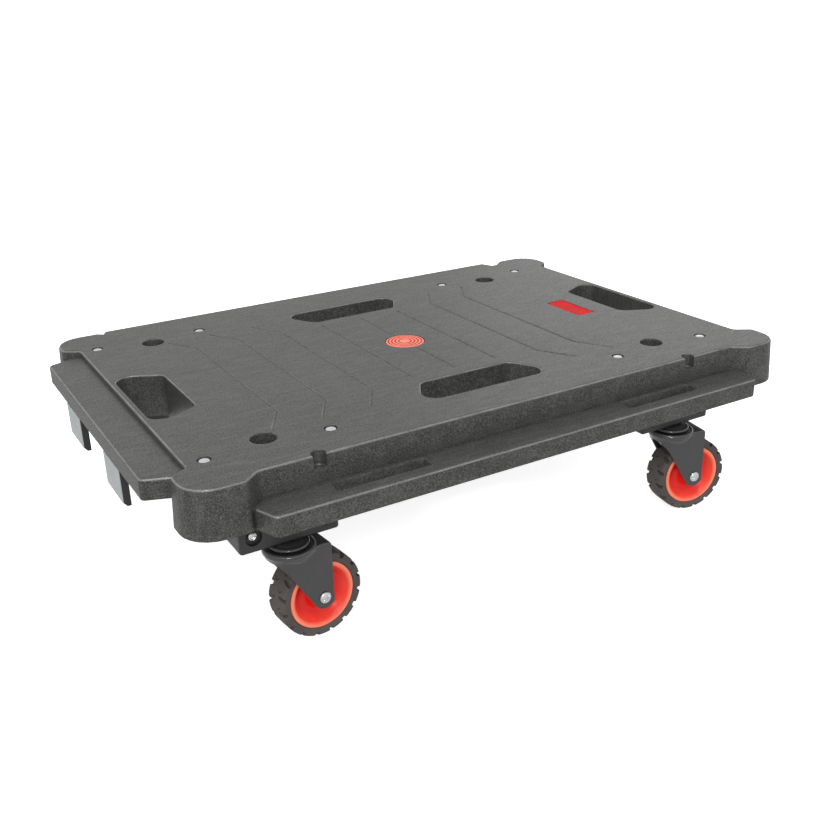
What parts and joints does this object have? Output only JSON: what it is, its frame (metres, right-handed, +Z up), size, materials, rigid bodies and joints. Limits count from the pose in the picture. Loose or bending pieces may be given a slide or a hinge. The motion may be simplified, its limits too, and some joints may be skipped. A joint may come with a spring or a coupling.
{
  "type": "platform dolly",
  "caption": "Low moulded platform on swivel casters, with handle openings, and with hooked flanges and slotted ledges that join it edge to edge with another.",
  "frame": {"origin": "floor level, under the middle of the bounding box", "axes": "+X along the long side, +Y across to the side with the long hooked flange, +Z up from the floor"},
  "size_m": [0.6858, 0.491, 0.178],
  "materials": {
    "deck_plastic": "fine-grained dark grey moulding",
    "disc_plastic": "smooth coral red",
    "label_plastic": "smooth red, blank",
    "hook_plastic": "smooth black",
    "block_plastic": "black moulding",
    "bolt_zinc": "zinc plated",
    "screw_zinc": "zinc plated",
    "race_steel": "satin black",
    "ball_steel": "bright steel",
    "pin_steel": "bright steel",
    "fork_steel": "satin black",
    "axle_zinc": "zinc plated",
    "nut_zinc": "zinc plated",
    "core_plastic": "smooth coral red",
    "tyre_rubber": "matt dark rubber"
  },
  "bodies": {
    "deck": {"deck": "deck_plastic", "centre_disc": "disc_plastic", "label_plate": "label_plastic", "hook_left_front": "hook_plastic", "hook_left_rear": "hook_plastic", "hook_rear_left": "hook_plastic", "hook_rear_right": "hook_plastic", "block_front_left": "block_plastic", "deck_bolt_front_left_outer": "bolt_zinc", "block_screw_front_left_outer": "screw_zinc", "deck_bolt_front_left_inner": "bolt_zinc", "block_screw_front_left_inner": "screw_zinc", "race_front_left": "race_steel", "king_pin_front_left": "pin_steel", "block_front_right": "block_plastic", "deck_bolt_front_right_outer": "bolt_zinc", "block_screw_front_right_outer": "screw_zinc", "deck_bolt_front_right_inner": "bolt_zinc", "block_screw_front_right_inner": "screw_zinc", "race_front_right": "race_steel", "king_pin_front_right": "pin_steel", "block_rear_left": "block_plastic", "deck_bolt_rear_left_outer": "bolt_zinc", "block_screw_rear_left_outer": "screw_zinc", "deck_bolt_rear_left_inner": "bolt_zinc", "block_screw_rear_left_inner": "screw_zinc", "race_rear_left": "race_steel", "king_pin_rear_left": "pin_steel", "block_rear_right": "block_plastic", "deck_bolt_rear_right_outer": "bolt_zinc", "block_screw_rear_right_outer": "screw_zinc", "deck_bolt_rear_right_inner": "bolt_zinc", "block_screw_rear_right_inner": "screw_zinc", "race_rear_right": "race_steel", "king_pin_rear_right": "pin_steel"},
    "swivel_front_left": {"fork_front_left": "fork_steel", "ball_ring_front_left": "ball_steel", "axle_bolt_front_left": "axle_zinc", "axle_nut_front_left": "nut_zinc"},
    "wheel_front_left": {"wheel_core_front_left": "core_plastic", "tyre_front_left": "tyre_rubber"},
    "swivel_front_right": {"fork_front_right": "fork_steel", "ball_ring_front_right": "ball_steel", "axle_bolt_front_right": "axle_zinc", "axle_nut_front_right": "nut_zinc"},
    "wheel_front_right": {"wheel_core_front_right": "core_plastic", "tyre_front_right": "tyre_rubber"},
    "swivel_rear_left": {"fork_rear_left": "fork_steel", "ball_ring_rear_left": "ball_steel", "axle_bolt_rear_left": "axle_zinc", "axle_nut_rear_left": "nut_zinc"},
    "wheel_rear_left": {"wheel_core_rear_left": "core_plastic", "tyre_rear_left": "tyre_rubber"},
    "swivel_rear_right": {"fork_rear_right": "fork_steel", "ball_ring_rear_right": "ball_steel", "axle_bolt_rear_right": "axle_zinc", "axle_nut_rear_right": "nut_zinc"},
    "wheel_rear_right": {"wheel_core_rear_right": "core_plastic", "tyre_rear_right": "tyre_rubber"}
  },
  "joints": [
    {"name": "swivel_turn_front_left", "type": "hinge", "parent": "deck", "child": "swivel_front_left", "pos_m": [-0.2328, -0.191, 0.09], "axis": [0, 0, 1], "continuous": true},
    {"name": "wheel_roll_front_left", "type": "hinge", "parent": "swivel_front_left", "child": "wheel_front_left", "pos_m": [-0.21091, -0.18885, 0.04], "axis": [0.0976, -0.9952, 0], "continuous": true},
    {"name": "swivel_turn_front_right", "type": "hinge", "parent": "deck", "child": "swivel_front_right", "pos_m": [0.2043, -0.191, 0.09], "axis": [0, 0, 1], "continuous": true},
    {"name": "wheel_roll_front_right", "type": "hinge", "parent": "swivel_front_right", "child": "wheel_front_right", "pos_m": [0.22598, -0.19475, 0.04], "axis": [-0.1702, -0.9854, 0], "continuous": true},
    {"name": "swivel_turn_rear_left", "type": "hinge", "parent": "deck", "child": "swivel_rear_left", "pos_m": [-0.2328, 0.191, 0.09], "axis": [0, 0, 1], "continuous": true},
    {"name": "wheel_roll_rear_left", "type": "hinge", "parent": "swivel_rear_left", "child": "wheel_rear_left", "pos_m": [-0.21085, 0.19254, 0.04], "axis": [0.0698, -0.9976, 0], "continuous": true},
    {"name": "swivel_turn_rear_right", "type": "hinge", "parent": "deck", "child": "swivel_rear_right", "pos_m": [0.2043, 0.191, 0.09], "axis": [0, 0, 1], "continuous": true},
    {"name": "wheel_roll_rear_right", "type": "hinge", "parent": "swivel_rear_right", "child": "wheel_rear_right", "pos_m": [0.22614, 0.18832, 0.04], "axis": [-0.1219, -0.9925, 0], "continuous": true}
  ]
}
